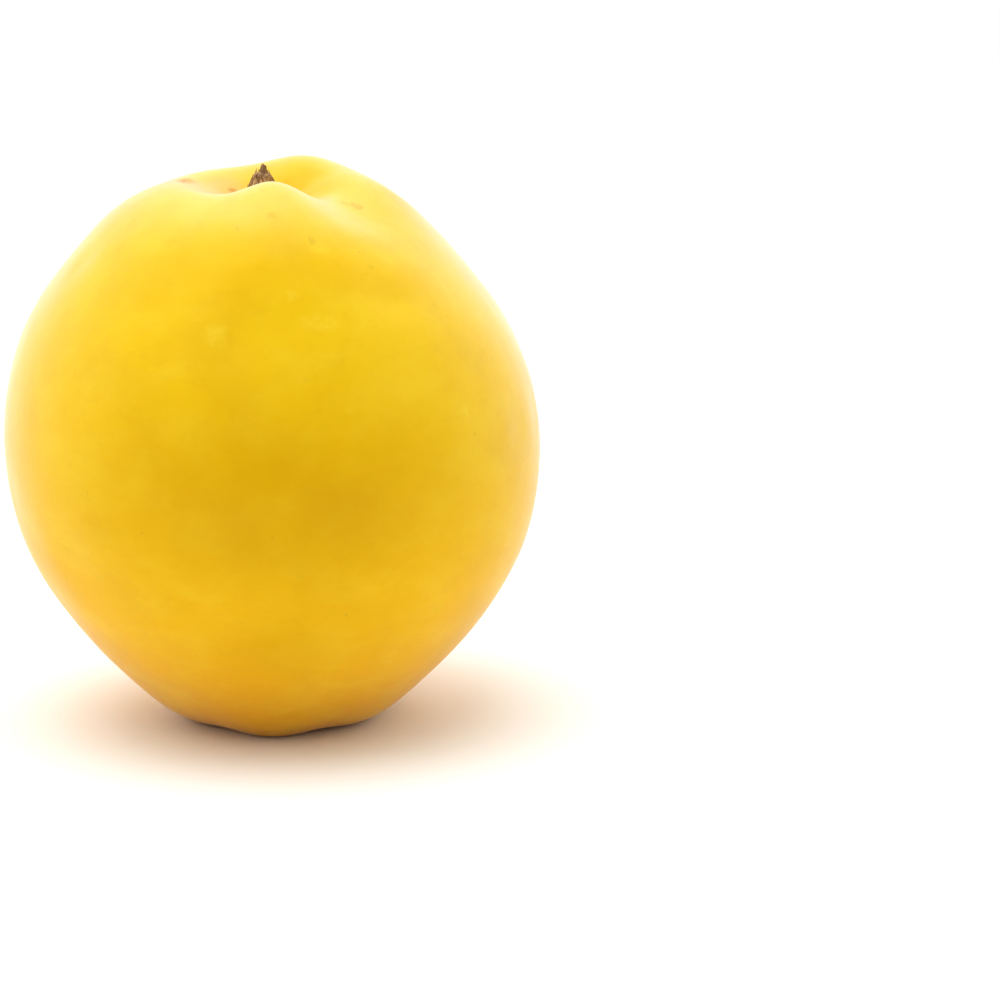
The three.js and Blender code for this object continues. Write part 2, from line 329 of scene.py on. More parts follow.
class Finish:
    """A material whose nodes are added one call at a time."""

    def __init__(self, name):
        self.material = bpy.data.materials.new(name)
        self.material.use_nodes = True
        self.tree = self.material.node_tree
        self.shader = self.tree.nodes["Principled BSDF"]
        place = self.add("ShaderNodeTexCoord").outputs["Object"]
        self.place = self.vector("SCALE", place, Scale=1 / MM)

    def add(self, kind, inputs=(), **settings):
        """A node, with its settings and its inputs as values or sockets to link."""
        node = self.tree.nodes.new(kind)
        for key, value in settings.items():
            setattr(node, key, value)
        for key, value in dict(inputs).items():
            self.feed(node.inputs[key], value)
        return node

    def feed(self, socket, value):
        """Sets a socket to a value, or links it."""
        if isinstance(value, bpy.types.NodeSocket):
            self.tree.links.new(value, socket)
        else:
            socket.default_value = value

    def vector(self, operation, first, second=None, **named):
        """A vector worked out from one or two others."""
        inputs = {0: first, **named}
        if second is not None:
            inputs[1] = second
        return self.add("ShaderNodeVectorMath", inputs, operation=operation).outputs["Vector"]

    def distance(self, first, second):
        """How far apart two places are."""
        node = self.add("ShaderNodeVectorMath", {0: first, 1: second}, operation="DISTANCE")
        return node.outputs["Value"]

    def math(self, operation, *values, clamp=False):
        """A number worked out from others."""
        node = self.add("ShaderNodeMath", dict(enumerate(values)), operation=operation, use_clamp=clamp)
        return node.outputs[0]

    def rise(self, value, low, high, to_low=0.0, to_high=1.0):
        """A smooth rise of one number over a range of another."""
        inputs = {"Value": value, "From Min": low, "From Max": high, "To Min": to_low, "To Max": to_high}
        return self.add("ShaderNodeMapRange", inputs, interpolation_type="SMOOTHSTEP").outputs["Result"]

    def cloud(self, size, detail=2.0, rough=0.5, place=None, warp=0.0):
        """Soft random clouds of a size in millimetres."""
        inputs = {
            "Vector": place or self.place,
            "Scale": 1 / size,
            "Detail": detail,
            "Roughness": rough,
            "Distortion": warp,
        }
        return self.add("ShaderNodeTexNoise", inputs).outputs["Fac"]

    def mix(self, factor, first, second):
        """Two colours mixed by a factor."""
        node = self.add("ShaderNodeMix", data_type="RGBA")
        self.feed(node.inputs[0], factor)
        self.feed(node.inputs[6], first)
        self.feed(node.inputs[7], second)
        return node.outputs[2]

    def ramp(self, factor, stops):
        """A colour ramp from places and colours."""
        node = self.add("ShaderNodeValToRGB", {"Fac": factor})
        while len(node.color_ramp.elements) < len(stops):
            node.color_ramp.elements.new(0.5)
        for element, (position, colour) in zip(node.color_ramp.elements, stops):
            element.position = position
            element.color = colour
        return node.outputs["Color"]

    def bump(self, height, distance):
        """Relief whose full height is given in millimetres."""
        inputs = {"Height": height, "Distance": distance * MM, "Strength": 1.0}
        self.feed(self.shader.inputs["Normal"], self.add("ShaderNodeBump", inputs).outputs["Normal"])

    def marks(self, place, marks, strength, edge=(1.25, 0.35)):
        """Where any of a list of soft oval marks lies, up to a strength.

        edge is where each begins and is full, as shares of its half size.
        """
        most = 0.0
        for middle, half, share in marks:
            away = self.vector("DIVIDE", self.vector("SUBTRACT", place, middle), half)
            length = self.add("ShaderNodeVectorMath", {0: away}, operation="LENGTH").outputs["Value"]
            most = self.math("MAXIMUM", most, self.rise(length, *edge, 0.0, share))
        return self.math("MULTIPLY", most, strength)

    def set(self, **values):
        """Sets the shader's own sockets."""
        for key, value in values.items():
            self.feed(self.shader.inputs[key.replace("_", " ")], value)


def opaque(colour):
    """A colour with full alpha."""
    return (*colour, 1.0)


# Marks of the skin: middle in millimetres, half size along X, Y and Z, and share of the full strength
BROWN_MARKS = [
    ((-13.6, 3.3, 88.6), (1.7, 3.0, 1.0), 1.0),
    ((-6.0, 4.7, 86.6), (1.0, 1.5, 0.9), 0.8),
    ((13.4, -8.7, 86.0), (2.9, 1.1, 0.9), 0.45),
]
FAINT_MARKS = [
    ((0.3, -23.0, 86.5), (1.0, 1.0, 0.8), 1.0),
    ((15.7, -25.8, 78.8), (0.7, 0.7, 0.7), 1.0),
    ((6.4, -26.2, 83.2), (0.6, 0.8, 1.3), 1.0),
    ((-5.2, -23.9, 84.5), (0.6, 0.7, 0.6), 0.9),
    ((5.3, -39.6, 63.6), (0.8, 0.8, 0.6), 0.3),
    ((-14.0, 38.0, 60.0), (0.9, 0.8, 1.2), 1.0),
    ((38.5, 12.0, 62.0), (0.8, 1.3, 0.8), 0.8),
    ((-30.0, 24.0, 72.0), (1.1, 1.1, 0.7), 1.0),
]
PALE_MARKS = [
    ((7.6, -27.1, 81.9), (2.0, 1.4, 1.0), 1.0),
    ((3.0, -33.2, 75.7), (1.4, 1.4, 1.1), 1.0),
    ((7.4, -35.1, 71.8), (4.0, 2.0, 1.6), 1.0),
    ((-8.7, -35.9, 70.1), (2.2, 2.2, 2.0), 1.0),
    ((11.8, -40.0, 58.9), (1.2, 1.2, 0.9), 0.6),
    ((30.0, -30.3, 56.4), (1.4, 1.4, 1.3), 1.0),
    ((12.0, 37.5, 66.0), (3.0, 2.0, 1.8), 1.0),
    ((-36.0, 10.0, 66.0), (1.6, 2.6, 1.6), 1.0),
]
BLUSH_MARKS = [
    ((-7.4, 5.0, 87.2), (4.6, 5.0, 2.8), 1.0),
    ((-13.0, 3.0, 88.4), (3.8, 4.2, 2.0), 1.0),
]
# Painted shade: deeper gold on the front's middle and lower flank, standing in for the shade where the front
# faces the unlit side of the room
PAINTED_SHADE_MARKS = [
    ((1.0, -42.0, 46.5), (30.0, 20.0, 13.5), 1.0),
    ((2.0, -37.0, 20.0), (14.0, 9.0, 6.5), 0.8),
]
BARE_MARKS = [
    ((-2.0, -31.0, 77.5), (18.0, 12.0, 7.5), 1.0),
    ((12.0, 4.0, 84.0), (11.0, 11.0, 7.0), 1.0),
]

SOFT_EDGE = (1.5, 0.0)  # where the broad deep and bare marks begin and are full
PORE_SPACING = 2.9  # millimetres from one pore to the next


def ground_colour(skin, height, out, settings):
    """The skin's plain colour: deeper gold low down, partly painted bounce light and shade; paler on the
    shoulder, partly a painted highlight; rich in the basin, which is painted shade.
    """
    drift = skin.math("MULTIPLY_ADD", skin.cloud(26, 2), 14.0, -7.0)
    level = skin.math("DIVIDE", skin.math("ADD", height, drift), float(FRUIT_HEIGHT))
    # Deeper, more orange gold towards the bottom: partly the skin's own colour and partly painted warm
    # bounce light and shade low down
    colour = skin.ramp(level, [
        (0.02, opaque(settings.base_colour)),
        (0.24, opaque(settings.low_colour)),
        (0.52, opaque(settings.middle_colour)),
        (0.80, opaque(settings.upper_colour)),
    ])
    # The paler shoulder is partly the skin's own colour and partly a painted highlight from the light above
    ragged = skin.math("MULTIPLY_ADD", skin.cloud(8, 3), 6.0, -3.0)
    shoulder = skin.rise(skin.math("ADD", height, ragged), 80.0, 89.5)
    colour = skin.mix(skin.math("MULTIPLY", shoulder, 0.8), colour, opaque(settings.shoulder_and_highlight_colour))
    # Painted shade: deeper gold inside the stem's basin, where shade falls in the hollow
    basin = skin.math("MULTIPLY", skin.rise(out, 15.0, 8.0), skin.rise(height, 70.0, 80.0))
    return skin.mix(skin.math("MULTIPLY", basin, 0.85), colour, opaque(settings.basin_shade_colour))


def mottled(skin, colour, settings):
    """Broad paler and deeper patches, then fine specks and flecks, over a colour."""
    squat = skin.vector("MULTIPLY", skin.place, (1.0, 1.0, 1.7))
    aside = skin.vector("ADD", skin.place, (40.0, 0.0, 0.0))
    beyond = skin.vector("ADD", squat, (0.0, 60.0, 0.0))
    patches = skin.rise(skin.cloud(11, 3, 0.55, squat, 0.4), 0.42, 0.7, 0.0, 0.24)
    deep = skin.rise(skin.cloud(15, 3, 0.55, aside, 0.3), 0.42, 0.7, 0.0, 0.26)
    specks = skin.rise(skin.cloud(2.6, 3, 0.6, squat), 0.5, 0.74, 0.0, 0.13)
    flecks = skin.rise(skin.cloud(1.7, 2, 0.5, beyond), 0.56, 0.74, 0.0, 0.12)
    for where, tint in (
        (patches, settings.patch_colour),
        (deep, settings.deep_and_shade_colour),
        (specks, settings.deep_and_shade_colour),
        (flecks, settings.patch_colour),
    ):
        colour = skin.mix(where, colour, opaque(tint))
    return colour


def pored(skin, colour, settings):
    """Small round pores of different sizes over a colour, some of them too faint to see."""
    inputs = {"Vector": skin.place, "Scale": 1 / PORE_SPACING, "Randomness": 1.0}
    cells = skin.add("ShaderNodeTexVoronoi", inputs)
    chance = skin.add("ShaderNodeSeparateColor", {0: cells.outputs["Color"]})
    wide = skin.math("MULTIPLY_ADD", chance.outputs["Red"], 0.09, 0.03)
    dot = skin.math("SUBTRACT", 1.0, skin.math("DIVIDE", cells.outputs["Distance"], wide), clamp=True)
    shown = skin.math("MULTIPLY", skin.rise(chance.outputs["Green"], 0.35, 0.9), 0.7)
    return skin.mix(skin.math("MULTIPLY", dot, shown), colour, opaque(settings.pore_colour))


def russeted(skin, colour, bent, settings):
    """Grainy russet round the stub and round the calyx, over a colour."""
    for centre, begin, full, grain, least, most in (
        ((*STUB_CENTRE, 84.0), 5.6, 2.6, 0.9, 0.3, 0.75),
        ((*CALYX_CENTRE, 9.0), 10.5, 4.5, 1.3, 0.35, 0.7),
    ):
        near = skin.rise(skin.distance(bent, centre), begin, full)
        grains = skin.rise(skin.cloud(grain, 3, 0.6), least, least + 0.3)
        russet = skin.math("MULTIPLY", skin.math("MULTIPLY", near, grains), most)
        colour = skin.mix(russet, colour, opaque(settings.russet_colour))
    return colour


def skin_finish(settings):
    """Waxy yellow skin: its ground colour, mottle, pores, marks and russet, and a soft bloom."""
    skin = Finish("quince_skin")
    axes = skin.add("ShaderNodeSeparateXYZ", {0: skin.place})
    height = axes.outputs["Z"]
    squares = [skin.math("POWER", axes.outputs[key], 2.0) for key in ("X", "Y")]
    out = skin.math("SQRT", skin.math("ADD", *squares))
    colour = pored(skin, mottled(skin, ground_colour(skin, height, out, settings), settings), settings)

    warp = {"Vector": skin.place, "Scale": 0.9, "Detail": 3.0, "Roughness": 0.6}
    swirl = skin.add("ShaderNodeTexNoise", warp).outputs["Color"]
    shift = skin.vector("SCALE", skin.vector("SUBTRACT", swirl, (0.5, 0.5, 0.5)), Scale=2.4)
    bent = skin.vector("ADD", skin.place, shift)
    worn = skin.rise(skin.cloud(1.1, 3, 0.65), 0.3, 0.62)
    blotch = skin.cloud(10, 3)
    # The first marks paint shade: deeper gold on the front's middle and lower flank in place of the shade
    # there
    painted_shade = skin.marks(bent, PAINTED_SHADE_MARKS, skin.rise(blotch, 0.3, 0.65, 0.5, 0.8), SOFT_EDGE)
    bare = skin.marks(bent, BARE_MARKS, skin.rise(blotch, 0.3, 0.65, 0.7, 1.0), SOFT_EDGE)
    scuffs = skin.marks(bent, BROWN_MARKS, 1.0)
    # The first mix paints that shade in the deep colour, with a little of the deep colour over the bare
    # marks
    for mark, tint in (
        (skin.math("MAXIMUM", painted_shade, skin.math("MULTIPLY", bare, 0.3)), settings.deep_and_shade_colour),
        (skin.marks(bent, PALE_MARKS, skin.math("MULTIPLY", worn, 0.5)), settings.patch_colour),
        (skin.marks(bent, BLUSH_MARKS, 0.55), settings.blush_colour),
        (skin.marks(bent, FAINT_MARKS, skin.math("MULTIPLY_ADD", worn, 0.15, 0.15)), settings.pore_colour),
        (skin.math("MULTIPLY", scuffs, skin.math("MULTIPLY_ADD", worn, 0.65, 0.2)), settings.russet_colour),
    ):
        colour = skin.mix(mark, colour, opaque(tint))
    colour = russeted(skin, colour, bent, settings)

    # The bloom is taken off where the skin is rubbed bare or scuffed, and also over the painted shade, which
    # deepens it
    rubbed_and_shaded = skin.math("MAXIMUM", skin.math("MAXIMUM", painted_shade, bare), scuffs)
    bloom = skin.rise(height, 10.0, 85.0, 0.2, 0.75)
    bloom = skin.math("MULTIPLY", bloom, skin.math("SUBTRACT", 1.0, rubbed_and_shaded))
    skin.set(Base_Color=colour, Roughness=0.34, Specular_IOR_Level=0.04)
    skin.set(Sheen_Weight=bloom, Sheen_Roughness=0.4)
    skin.set(Subsurface_Weight=0.1, Subsurface_Scale=0.002, Subsurface_Radius=(1.0, 0.45, 0.08))
    skin.bump(skin.cloud(0.9, 3, 0.6), 0.04)
    return skin.material


def wood_finish(settings):
    """Raw, torn stalk wood: dark weathered edges, pale streaks where it broke and a reddish foot."""
    wood = Finish("stub_wood")
    stretched = wood.vector("MULTIPLY", wood.place, (1.0, 1.0, 0.14))
    fibre = wood.cloud(0.32, 4, 0.65, stretched, 0.3)
    colour = wood.ramp(fibre, [
        (0.34, opaque(settings.dark_colour)),
        (0.48, opaque(settings.wood_colour)),
        (0.66, opaque(settings.pale_colour)),
    ])
    axes = wood.add("ShaderNodeSeparateXYZ", {0: wood.place})
    weathered = wood.rise(wood.cloud(1.3, 2, 0.5, stretched), 0.42, 0.6)
    colour = wood.mix(wood.math("MULTIPLY", weathered, 0.6), colour, opaque(settings.dark_colour))
    torn_face = wood.distance(wood.place, TORN_FACE)
    streak = wood.math("MULTIPLY", wood.rise(torn_face, 1.9, 0.5), wood.rise(fibre, 0.42, 0.6))
    colour = wood.mix(streak, colour, opaque(settings.pale_colour))
    reddened = wood.rise(wood.cloud(0.8, 3), 0.4, 0.6)
    foot = wood.math("MULTIPLY", wood.rise(axes.outputs["Z"], 88.0, 86.0), reddened)
    colour = wood.mix(wood.math("MULTIPLY", foot, 0.7), colour, opaque(settings.foot_colour))
    tip = wood.rise(axes.outputs["Z"], 89.8, 91.3)
    colour = wood.mix(wood.math("MULTIPLY", tip, 0.6), colour, opaque(settings.dark_colour))
    wood.set(Base_Color=colour, Roughness=0.85, Specular_IOR_Level=0.2)
    wood.bump(wood.cloud(0.14, 3, 0.6, stretched), 0.08)
    return wood.material


def calyx_finish(settings):
    """Dry brown leafy tissue, bleached towards its tips, with painted shade in the hollow of its cup."""
    leaf = Finish("dried_calyx")
    centred = leaf.vector("SUBTRACT", leaf.place, (*CALYX_CENTRE, 0.0))
    flat = leaf.vector("MULTIPLY", centred, (1.0, 1.0, 0.0))
    spread = leaf.vector("SCALE", leaf.vector("NORMALIZE", flat), Scale=6.0)
    grain = leaf.vector("ADD", spread, leaf.vector("MULTIPLY", leaf.place, (0.0, 0.0, 0.22)))
    blotches = leaf.math("MULTIPLY", leaf.cloud(1.3, 4, 0.6), 0.45)
    tone = leaf.math("MULTIPLY_ADD", leaf.cloud(0.34, 3, 0.6, grain), 0.55, blotches)
    colour = leaf.ramp(tone, [
        (0.36, opaque(settings.dark_tissue_and_shade_colour)),
        (0.50, opaque(settings.sepal_colour)),
        (0.66, opaque(settings.tip_colour)),
    ])
    out = leaf.distance(leaf.place, (*CALYX_CENTRE, 9.5))
    colour = leaf.mix(leaf.rise(out, 5.5, 8.5, 0.0, 0.5), colour, opaque(settings.tip_colour))
    # Painted shade: darker towards the middle of the cup, where shade falls in its hollow
    colour = leaf.mix(leaf.rise(out, 3.6, 1.6, 0.0, 0.6), colour, opaque(settings.dark_tissue_and_shade_colour))
    fleck = leaf.rise(leaf.cloud(0.3, 3, 0.6), 0.55, 0.7, 0.0, 0.5)
    colour = leaf.mix(fleck, colour, opaque(settings.down_colour))
    leaf.set(Base_Color=colour, Roughness=0.9, Specular_IOR_Level=0.15)
    leaf.set(Sheen_Weight=0.08, Sheen_Roughness=0.5)
    leaf.bump(leaf.cloud(0.25, 3, 0.6, grain), 0.08)
    return leaf.material


def colour_property(name, description, default):
    """A colour that a user would change."""
    return FloatVectorProperty(
        name=name, description=description, subtype="COLOR", size=3, min=0, max=1, default=default
    )


def length_property(name, description, default_mm):
    """A length that a user would change, stored in metres."""
    return FloatProperty(
        name=name, description=description, default=default_mm * MM, unit="LENGTH", precision=5
    )


def factor_property(name, description, default=1.0):
    """A share or factor that a user would change."""
    return FloatProperty(name=name, description=description, default=default, subtype="FACTOR", min=0)


class QuinceFruit(bpy.types.PropertyGroup):
    """The fruit's shape and skin."""

    segments: IntProperty(name="Segments", description="Faces round the fruit", default=384, min=24)
    rings: IntProperty(name="Rings", description="Faces from the calyx to the stub", default=228, min=19)
    lobe_strength: factor_property("Lobes", "How strongly the lobes and dents show")
    unevenness: length_property("Unevenness", "Height of the skin's low waves", 0.12)
    pleat_depth: length_property("Pleats", "Depth of the pleats that run into the basins", 0.09)
    dents: IntProperty(name="Dents", description="Shallow dents of the skin", default=34, min=0)
    dent_scale: factor_property("Dent depth", "How deep the shallow dents are, as a factor")
    # The shoulder colour is partly a painted highlight
    shoulder_and_highlight_colour: colour_property("Shoulder", "Skin of the shoulder", (0.92, 0.65, 0.11))
    # The basin colour is painted shade in the stem's hollow
    basin_shade_colour: colour_property("Basin", "Skin inside the stub's basin", (0.86, 0.52, 0.004))
    upper_colour: colour_property("Upper", "Skin of the upper flank", (0.88, 0.56, 0.003))
    middle_colour: colour_property("Middle", "Skin round the middle", (0.87, 0.52, 0.002))
    # The low and base colours are partly painted bounce light and shade
    low_colour: colour_property("Low", "Skin of the lower flank", (0.88, 0.48, 0.002))
    base_colour: colour_property("Base", "Skin near the calyx", (0.82, 0.37, 0.002))
    patch_colour: colour_property("Patches", "Paler patches, flecks and marks", (0.93, 0.66, 0.03))
    # The deep colour is also the colour of the painted shade on the front
    deep_and_shade_colour: colour_property("Deep", "Deeper golden patches and specks", (0.71, 0.375, 0.001))
    pore_colour: colour_property("Pores", "Dots of the skin's pores", (0.46, 0.30, 0.02))
    russet_colour: colour_property("Russet", "Russet and scuffs", (0.50, 0.22, 0.05))
    blush_colour: colour_property("Blush", "Pinkish tint round scuffs", (0.92, 0.46, 0.14))


class QuinceStub(bpy.types.PropertyGroup):
    """The torn stub of the stalk."""

    splinters: IntProperty(name="Splinters", description="Splinters round the shard", default=8, min=0)
    shard_fibres: IntProperty(name="Shard fibres", description="Torn fibres of the shard", default=16, min=0)
    flakes: IntProperty(name="Flakes", description="Bark flakes round the foot", default=11, min=0)
    fibres: IntProperty(name="Fibres", description="Fine fibres on the outside", default=70, min=0)
    dark_colour: colour_property("Dark", "Weathered edges", (0.15, 0.07, 0.026))
    wood_colour: colour_property("Wood", "Body of the stub", (0.42, 0.24, 0.10))
    pale_colour: colour_property("Pale", "Torn fibres", (0.74, 0.54, 0.32))
    foot_colour: colour_property("Foot", "Reddish foot", (0.42, 0.18, 0.08))


class QuinceCalyx(bpy.types.PropertyGroup):
    """The withered calyx."""

    sepals: IntProperty(name="Sepals", description="Sepals round the cup", default=5, min=1)
    stamens: IntProperty(name="Stamens", description="Withered stamens inside", default=15, min=0)
    hairs: IntProperty(name="Hairs", description="Downy hairs round the sepals", default=340, min=0)
    sepal_colour: colour_property("Sepals", "Dry sepals", (0.32, 0.18, 0.08))
    # The darkest tissue, and the painted shade in the cup's hollow
    dark_tissue_and_shade_colour: colour_property("Hollows", "Darkest tissue", (0.09, 0.05, 0.022))
    tip_colour: colour_property("Tips", "Bleached edges and tips", (0.56, 0.38, 0.19))
    down_colour: colour_property("Down", "Grey-green down", (0.46, 0.39, 0.23))


class QuinceStage(bpy.types.PropertyGroup):
    """The floor, the light and the camera."""

    camera_distance: length_property("Distance", "From the camera to the fruit's middle", 600)
    camera_elevation: FloatProperty(
        name="Elevation",
        description="Height of the camera above the fruit's middle, as an angle",
        default=math.radians(12),
        subtype="ANGLE",
    )
    fruit_across: factor_property("Across", "Fruit's middle across the picture, 0 to 1", 0.2735)
    fruit_down: factor_property("Down", "Fruit's middle down the picture, 0 to 1", 0.4425)
    picture_scale: factor_property(
        "Scale", "Share of the picture's width that a millimetre of fruit takes", 0.00606
    )
    floor_colour: colour_property("Floor", "The pale floor", (0.965, 0.975, 0.985))
    top_power: FloatProperty(
        name="Top light", description="Power of the soft light above", default=2.9, unit="POWER"
    )
    front_power: FloatProperty(
        name="Front light", description="Power of the soft light above the camera", default=2.2, unit="POWER"
    )
    front_strength: factor_property("Front", "Strength of the surround in front", 0.0)
    back_strength: factor_property("Back", "Strength of the surround behind", 1.3)


class QUINCE_OT_fruit(bpy.types.Operator):
    """Grow the fruit's skin over its solid"""

    bl_idname = "quince.fruit"
    bl_label = "Grow fruit"

    def execute(self, context):
        settings = context.scene.quince_fruit
        parts = [closed_grid(fruit_grid(settings))]
        make_piece("quince_skin", parts, skin_finish(settings), "fruit")
        return {"FINISHED"}


# The stub's outline, as radius and height, and its torn parts, in millimetres
STUB_OUTLINE = [
    (0, 84.6), (1.6, 84.7), (2.5, 85.1), (2.9, 85.7), (2.85, 86.4), (2.5, 87.2), (2.2, 88),
    (1.95, 88.7), (1.7, 89.3), (1.35, 89.9), (0.9, 90.25), (0, 90.4),
]
SHARD = {"foot": 86.6, "waist": 89.15, "tip": 91.45, "lean": 0.25}
SHARD_WIDTH = (3.2, 0.5)  # at its foot and at its tip
SHARD_THICKNESS = (2.4, 0.5)
SPLINTER = {"foot": 86.3, "radius": 2.1, "width": 1.5, "thickness": 1, "tip_width": 0.45}
SPLINTER_TIPS = (88.7, 90.7)
BARK = {"foot": 85.9, "radius": 2.75, "taper": 0.42}


def torn(width, tip_width):
    """A width that narrows slowly at first, down to the torn tip."""
    return lambda along: width + (tip_width - width) * along**1.5


def fibred(ridges, twist):
    """Lengthwise ridges round a strand."""
    def relief(along, turn):
        bend = turn + twist * along
        return 1 + 0.08 * np.sin(ridges * bend) + 0.05 * np.sin((2 * ridges + 1) * bend + 2)

    return relief


def bark(height, turn):
    """Lengthwise ridges of the stub's bark, and knobs round its foot."""
    twist = turn + 0.05 * (height - 86)
    knobs = bell(height - 86.1, 0.9) * (0.05 * np.sin(5 * turn + 1) + 0.04 * np.sin(8 * turn))
    ridges = 0.04 * np.sin(13 * twist) + 0.03 * np.sin(29 * twist + 1) + 0.015 * np.sin(53 * twist)
    return 1 + ridges + knobs


def shard():
    """The long torn shard in the stub's middle."""
    path = [(0, SHARD["foot"]), (0, SHARD["waist"]), (SHARD["lean"], SHARD["tip"])]
    return strand(
        path, 0, STUB_CENTRE, torn(*SHARD_WIDTH), torn(*SHARD_THICKNESS), sides=56, steps=40,
        relief=fibred(9, 0.6), ridge=lambda along, across: 0.12 * along * np.sin(9 * along + 4 * across),
    )


def shard_fibre(number, draw):
    """One torn fibre that stands round the shard."""
    tip = draw(89.6, 91.75)
    foot_reach = draw(0.9, 1.45)
    tip_reach = draw(0.1, 0.42) + 0.22 * (91.7 - tip)
    waist_reach = (foot_reach + tip_reach) / 2 + draw(-0.1, 0.12)
    path = [(foot_reach, 87.4), (waist_reach, 89.2), (tip_reach, tip)]
    return strand(
        path, number * GOLDEN_TURN + draw(-10, 10), (STUB_CENTRE[0] + 0.2, STUB_CENTRE[1]),
        torn(draw(0.5, 0.85), 0.12), torn(0.45, 0.1), sides=14, steps=22, relief=fibred(3, 2),
    )


def flake(number, draw):
    """One flake of bark on the stub's foot."""
    foot, tip = draw(85.3, 85.8), draw(86.6, 87.7)
    path = [(2.7, foot), (draw(2.75, 3.1), (foot + tip) / 2), (draw(2.2, 2.65), tip)]
    return strand(
        path, number * GOLDEN_TURN + draw(-14, 14), STUB_CENTRE, torn(draw(0.9, 1.7), 0.4),
        torn(0.6, 0.2), trough=-0.12, sides=24, steps=20, relief=fibred(4, 3),
    )


def splinter(number, count, draw):
    """One splinter of the ring round the shard."""
    tip = draw(*SPLINTER_TIPS)
    foot, radius, tip_width = SPLINTER["foot"], SPLINTER["radius"], SPLINTER["tip_width"]
    path = [(radius, foot), (radius * 0.85, (foot + tip) / 2), (radius * draw(0.6, 0.85), tip)]
    return strand(
        path, number * 360 / count + draw(-9, 9), STUB_CENTRE, torn(SPLINTER["width"], tip_width),
        torn(SPLINTER["thickness"], tip_width), sides=24, steps=24, relief=fibred(5, 1 + 0.2 * number),
    )


def bark_radius(height):
    """The stub's rough radius at a height."""
    return BARK["radius"] - BARK["taper"] * (height - BARK["foot"])


def fibre(number, draw):
    """One fine fibre on the outside of the stub."""
    foot, tip = draw(85.5, 87.4), draw(88.2, 90.9)
    waist = draw(0.95, 1.1)
    foot_reach = bark_radius(foot)
    tip_reach = max(bark_radius(tip), 0.3) * draw(0.85, 1.45)
    waist_reach = (foot_reach + tip_reach) / 2 * waist
    path = [(foot_reach, foot), (waist_reach, (foot + tip) / 2), (tip_reach, tip)]
    width = draw(0.22, 0.5)
    return strand(
        path, number * GOLDEN_TURN + draw(-12, 12), STUB_CENTRE, torn(width, 0.07), torn(0.24, 0.06),
        sides=8, steps=14, relief=fibred(2, 3),
    )


class QUINCE_OT_stub(bpy.types.Operator):
    """Tear the stub of the stalk"""

    bl_idname = "quince.stub"
    bl_label = "Tear stub"

    def execute(self, context):
        settings = context.scene.quince_stub
        parts = [turned(smooth_outline(STUB_OUTLINE), 180, bark, STUB_CENTRE), shard()]
        draw = seeded_draw(71)
        parts += [shard_fibre(number, draw) for number in range(settings.shard_fibres)]
        parts += [flake(number, draw) for number in range(settings.flakes)]
        draw = seeded_draw(11)
        parts += [splinter(number, settings.splinters, draw) for number in range(settings.splinters)]
        draw = seeded_draw(29)
        parts += [fibre(number, draw) for number in range(settings.fibres)]
        make_piece("stem_stub_wood", parts, wood_finish(settings), "stem_stub")
        return {"FINISHED"}


# The calyx: its cup's outline, as radius and height, and its leafy parts
CUP_OUTLINE = [
    (0, 9.2), (2.9, 8.7), (3.9, 8), (4.6, 8.2), (4.8, 9.1), (4.1, 10), (2.6, 10.7), (0, 11.1),
]
SEPAL_TROUGH = 0.5  # how far a sepal's edges stand out of its middle
FIRST_SEPAL = 18  # its azimuth in degrees
STYLES = 5


def sepal_path(tip):
    """A sepal's middle line, from the cup down to its tip."""
    return [(3.6, 9.3), (4.9, 8), (5.9, 6.2), (6.6, 4.4), tip]


def sepal_width(along):
    """A sepal's width along its middle line."""
    return np.maximum(4.4 * np.sin(math.pi * (0.25 + 0.75 * along)), 0.35)


def sepal(azimuth, tip, phase):
    """One dry sepal: veined, toothed, curled along its edges and pointed."""

    def thickness(along):
        return 0.42 - 0.16 * along

    def teeth(along, turn):
        saw = 0.07 * np.abs(np.sin(15 * along * math.pi / 2 + phase)) + 0.03 * np.sin(23 * along + phase)
        return 1 + saw * np.sin(turn) ** 4

    def veins(along, across):
        aside = np.abs(across)
        middle = 0.2 * bell(aside, 0.12) * (1 - 0.6 * along)
        side = 0.08 * np.sin(2 * math.pi * (8 * along - 1.8 * aside)) * smoothstep(0.05, 0.4, aside)
        curl = 0.3 * along * aside**2 * np.sin(8 * along + phase + 1.5 * np.sign(across))
        return curl - middle - side

    return strand(
        sepal_path(tip), azimuth, CALYX_CENTRE, sepal_width, thickness, SEPAL_TROUGH,
        sides=56, steps=64, relief=teeth, ridge=veins,
    )


def hair(azimuth, tip, draw):
    """One hair of the down, rooted in the sepal with this azimuth and tip."""
    along, across = draw(0.05, 0.95), draw(-0.95, 0.95)
    path = sepal_path(tip)
    (reach, height), way = spline(path, along), directions(path, along)
    sink = SEPAL_TROUGH * across**2
    reach, height = reach + sink * way[1], height - sink * way[0]
    aside = across * float(sepal_width(along)) / 2
    root = math.hypot(reach, aside)
    out, down = draw(-0.3, 0.9), draw(0.1, 1.0)
    path = [(root, height), (root + out / 3, height - down / 2), (root + out, height - down)]
    side = azimuth + math.degrees(math.atan2(aside, reach))
    return strand(path, side, CALYX_CENTRE, torn(0.07, 0.03), torn(0.07, 0.03), sides=4, steps=5)


def wrinkles(height, turn):
    """Wrinkles round the calyx's cup."""
    return 1 + 0.02 * np.sin(19 * turn + height) + 0.015 * np.sin(37 * turn - 2 * height)


def stamen(number, draw):
    """One withered stamen with its anther."""
    root = draw(0.9, 2.7)
    path = [(root, 9.3), (root + draw(-0.3, 0.5), 7.6), (root + draw(-0.8, 0.9), draw(4.6, 6.6))]

    def width(along):
        return 0.32 - 0.1 * along + 0.34 * bell(along - 0.9, 0.07)

    return strand(
        path, number * GOLDEN_TURN, CALYX_CENTRE, width, width, sides=10, steps=24, relief=fibred(2, 2)
    )


